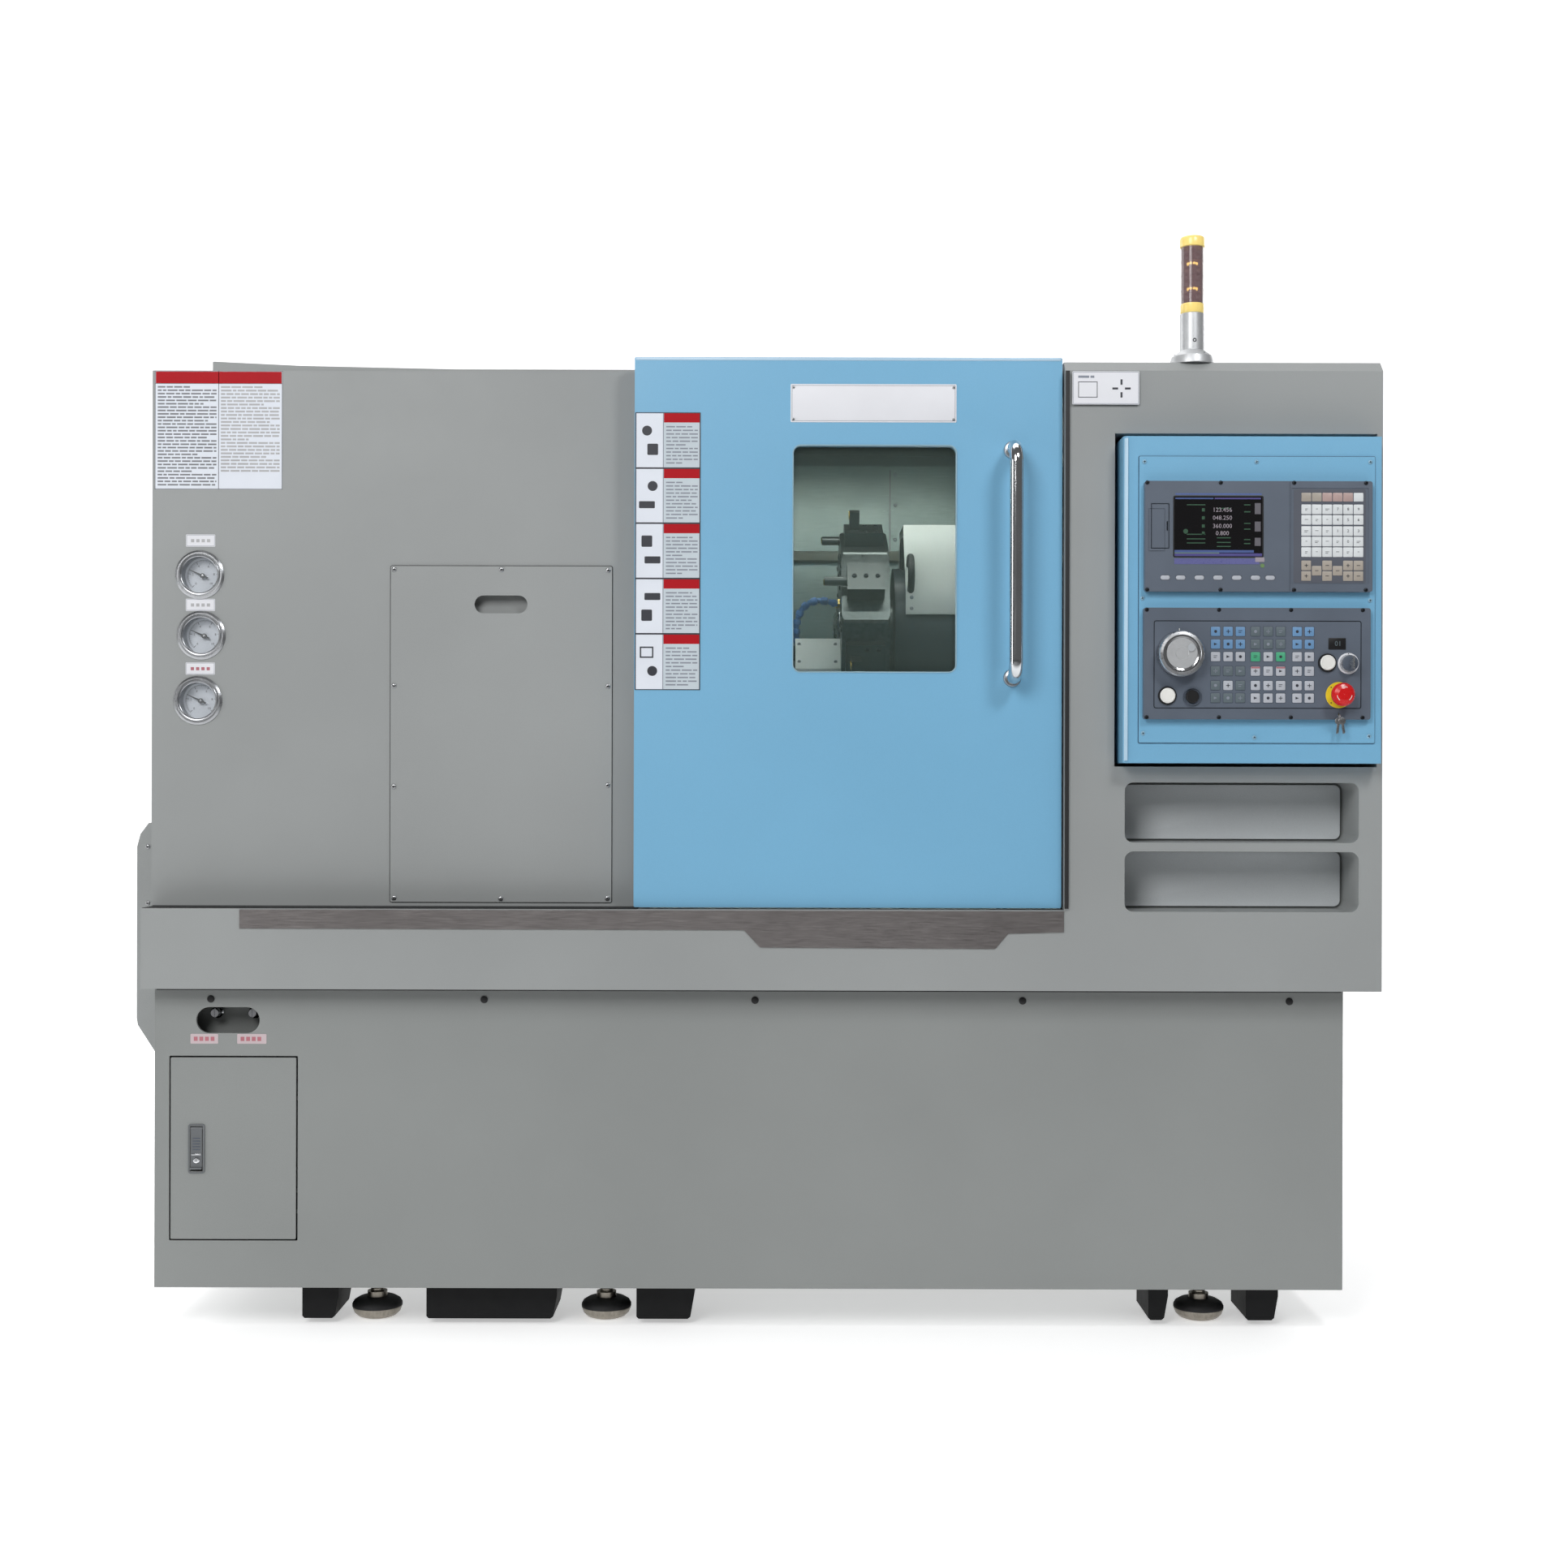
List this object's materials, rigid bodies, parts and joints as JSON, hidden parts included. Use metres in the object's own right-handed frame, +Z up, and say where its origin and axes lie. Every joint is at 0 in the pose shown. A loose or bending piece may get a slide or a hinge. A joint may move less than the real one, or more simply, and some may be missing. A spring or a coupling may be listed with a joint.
{
  "type": "cnc turning lathe",
  "caption": "Small slant-bed turning lathe: grey hood and base, blue sliding door with window, swing-out control box, turret, chuck and signal lamp.",
  "frame": {"origin": "centre of the machine's footprint box, on the floor under the levelling feet", "axes": "+Z up; -Y towards the operator; +X to the operator's right, along the spindle axis away from the chuck side"},
  "size_m": [2.22, 1.59, 1.9535],
  "materials": {
    "grey_paint": "semi-matt textured enamel",
    "blue_paint": "semi-gloss light blue enamel",
    "base_paint": "semi-matt textured enamel",
    "cast_paint": "painted casting with machined faces",
    "stainless": "brushed stainless sheet",
    "machined": "ground and turned steel",
    "chrome": "polished chrome",
    "black_steel": "black enamel",
    "slate": "dark slate satin",
    "aluminium": "satin turned aluminium",
    "glass": "clear safety glass with a light green tint",
    "lamp_lens": "smoked amber lens",
    "red_plastic": "red moulded cap",
    "white_plastic": "white push button",
    "black_plastic": "black plastic",
    "rubber": "black rubber"
  },
  "bodies": {
    "machine": {"base_cabinet": "base_paint", "apron_belt": "grey_paint", "sill_strip": "stainless", "chip_pan": "stainless", "hood_shell": "grey_paint", "access_panel": "grey_paint", "left_side_cover": "grey_paint", "chamber_liner": "stainless", "door_rail": "machined", "control_column": "grey_paint", "tower_base": "aluminium", "tower_lens": "lamp_lens", "gauge_cases": "chrome", "valve_bodies": "machined", "levelling_feet": "machined", "skid_blocks": "black_steel", "electrical_cabinet": "grey_paint", "base_door_hinges": "machined", "bed_casting": "cast_paint", "headstock": "cast_paint", "spindle_bearings": "machined", "spindle_motor": "black_steel", "drive_belt": "rubber", "z_rails": "machined", "z_axis_motor": "black_steel"},
    "door": {"door_panel": "blue_paint", "window_glass": "glass", "door_handle": "chrome"},
    "service_door": {"base_door": "base_paint"},
    "service_latch": {"latch_paddle": "slate"},
    "swing_box": {"control_box": "blue_paint", "display_unit": "slate", "operator_panel": "slate"},
    "wheel": {"handwheel": "aluminium"},
    "upper_button": {"button_upper": "white_plastic"},
    "lower_button": {"button_lower": "white_plastic"},
    "black_button": {"button_black": "black_plastic"},
    "stop_stem": {"estop_stem": "black_plastic"},
    "stop_cap": {"estop_cap": "red_plastic"},
    "key": {"key_switch": "aluminium"},
    "spindle": {"spindle_shaft": "machined", "spindle_pulley": "machined", "chuck_body": "machined"},
    "jaw_a": {"jaw_1": "machined"},
    "jaw_b": {"jaw_2": "machined"},
    "jaw_c": {"jaw_3": "machined"},
    "motor_rotor": {"motor_pulley": "machined"},
    "carriage": {"saddle": "cast_paint", "x_axis_motor": "black_steel"},
    "feed_screw_z": {"z_screw": "machined"},
    "feed_screw_x": {"x_screw": "machined"},
    "cross_slide": {"turret_body": "slate", "coolant_hoses": "rubber"},
    "turret": {"turret_disc": "machined", "tool_holders": "machined"},
    "needle_1": {"gauge_needle_1": "black_steel"},
    "needle_2": {"gauge_needle_2": "black_steel"},
    "needle_3": {"gauge_needle_3": "black_steel"},
    "knob_left": {"valve_knob_left": "chrome"},
    "knob_right": {"valve_knob_right": "chrome"}
  },
  "joints": [
    {"name": "door_slide", "type": "slide", "parent": "machine", "child": "door", "axis": [1, 0, 0], "range_m": [-0.69, 0]},
    {"name": "service_door_hinge", "type": "hinge", "parent": "machine", "child": "service_door", "pos_m": [-0.8335, -0.646, 0.33], "axis": [0, 0, 1], "range_deg": [0, 110]},
    {"name": "latch_flap", "type": "hinge", "parent": "service_door", "child": "service_latch", "pos_m": [-0.9863, -0.6545, 0.362], "axis": [1, 0, 0], "range_deg": [-40, 0]},
    {"name": "swing_box_hinge", "type": "hinge", "parent": "machine", "child": "swing_box", "pos_m": [1.0975, -0.703, 1.3], "axis": [0, 0, 1], "range_deg": [0, 90]},
    {"name": "handwheel_turn", "type": "hinge", "parent": "swing_box", "child": "wheel", "pos_m": [0.741, -0.757, 1.204], "axis": [0, 1, 0], "continuous": true},
    {"name": "upper_button_push", "type": "slide", "parent": "swing_box", "child": "upper_button", "axis": [0, 1, 0], "range_m": [0, 0.003], "stiffness_N_per_m": 300},
    {"name": "lower_button_push", "type": "slide", "parent": "swing_box", "child": "lower_button", "axis": [0, 1, 0], "range_m": [0, 0.003], "stiffness_N_per_m": 300},
    {"name": "black_button_push", "type": "slide", "parent": "swing_box", "child": "black_button", "axis": [0, 1, 0], "range_m": [0, 0.003], "stiffness_N_per_m": 300},
    {"name": "stop_push", "type": "slide", "parent": "swing_box", "child": "stop_stem", "axis": [0, 1, 0], "range_m": [0, 0.005]},
    {"name": "stop_twist", "type": "hinge", "parent": "stop_stem", "child": "stop_cap", "pos_m": [1.017, -0.78, 1.134], "axis": [0, 1, 0], "range_deg": [0, 40]},
    {"name": "key_turn", "type": "hinge", "parent": "swing_box", "child": "key", "pos_m": [1.0334, -0.757, 1.1888], "axis": [0, 1, 0], "range_deg": [0, 90]},
    {"name": "spindle_spin", "type": "hinge", "parent": "machine", "child": "spindle", "pos_m": [-0.4, -0.3, 1.06], "axis": [1, 0, 0], "continuous": true},
    {"name": "jaw_1_slide", "type": "slide", "parent": "spindle", "child": "jaw_a", "axis": [0, 0, 1], "range_m": [-0.012, 0.004]},
    {"name": "jaw_2_slide", "type": "slide", "parent": "spindle", "child": "jaw_b", "axis": [0, -0.866, -0.5], "range_m": [-0.012, 0.004]},
    {"name": "jaw_3_slide", "type": "slide", "parent": "spindle", "child": "jaw_c", "axis": [0, 0.866, -0.5], "range_m": [-0.012, 0.004]},
    {"name": "motor_spin", "type": "hinge", "parent": "machine", "child": "motor_rotor", "pos_m": [-0.7, -0.3, 0.33], "axis": [1, 0, 0], "continuous": true},
    {"name": "carriage_travel", "type": "slide", "parent": "machine", "child": "carriage", "axis": [1, 0, 0], "range_m": [-0.165, 0.01]},
    {"name": "z_screw_spin", "type": "hinge", "parent": "machine", "child": "feed_screw_z", "pos_m": [0, -0.03554, 0.92282], "axis": [1, 0, 0], "continuous": true},
    {"name": "cross_travel", "type": "slide", "parent": "carriage", "child": "cross_slide", "axis": [0, -0.7071, -0.7071], "range_m": [-0.02, 0.09]},
    {"name": "x_screw_spin", "type": "hinge", "parent": "carriage", "child": "feed_screw_x", "pos_m": [0.405, -0.27702, 0.7966], "axis": [0, 0.7071, 0.7071], "continuous": true},
    {"name": "turret_index", "type": "hinge", "parent": "cross_slide", "child": "turret", "pos_m": [0.22, -0.05958, 1.30042], "axis": [1, 0, 0], "continuous": true},
    {"name": "needle_1_swing", "type": "hinge", "parent": "machine", "child": "needle_1", "pos_m": [-0.9878, -0.622, 1.3496], "axis": [0, 1, 0], "range_deg": [-67, 203]},
    {"name": "needle_2_swing", "type": "hinge", "parent": "machine", "child": "needle_2", "pos_m": [-0.9849, -0.622, 1.2413], "axis": [0, 1, 0], "range_deg": [-67, 203]},
    {"name": "needle_3_swing", "type": "hinge", "parent": "machine", "child": "needle_3", "pos_m": [-0.9907, -0.622, 1.1249], "axis": [0, 1, 0], "range_deg": [-67, 203]},
    {"name": "knob_left_turn", "type": "hinge", "parent": "machine", "child": "knob_left", "pos_m": [-0.961, -0.62, 0.565], "axis": [0, 1, 0], "range_deg": [-180, 180]},
    {"name": "knob_right_turn", "type": "hinge", "parent": "machine", "child": "knob_right", "pos_m": [-0.8936, -0.62, 0.565], "axis": [0, 1, 0], "range_deg": [-180, 180]}
  ],
  "couplings": [
    {"joint": "jaw_2_slide", "follows": "jaw_1_slide", "ratio": 1},
    {"joint": "jaw_3_slide", "follows": "jaw_1_slide", "ratio": 1},
    {"joint": "motor_spin", "follows": "spindle_spin", "ratio": 1.375},
    {"joint": "z_screw_spin", "follows": "carriage_travel", "rad_per_m": 628.32},
    {"joint": "x_screw_spin", "follows": "cross_travel", "rad_per_m": 1256.6}
  ]
}
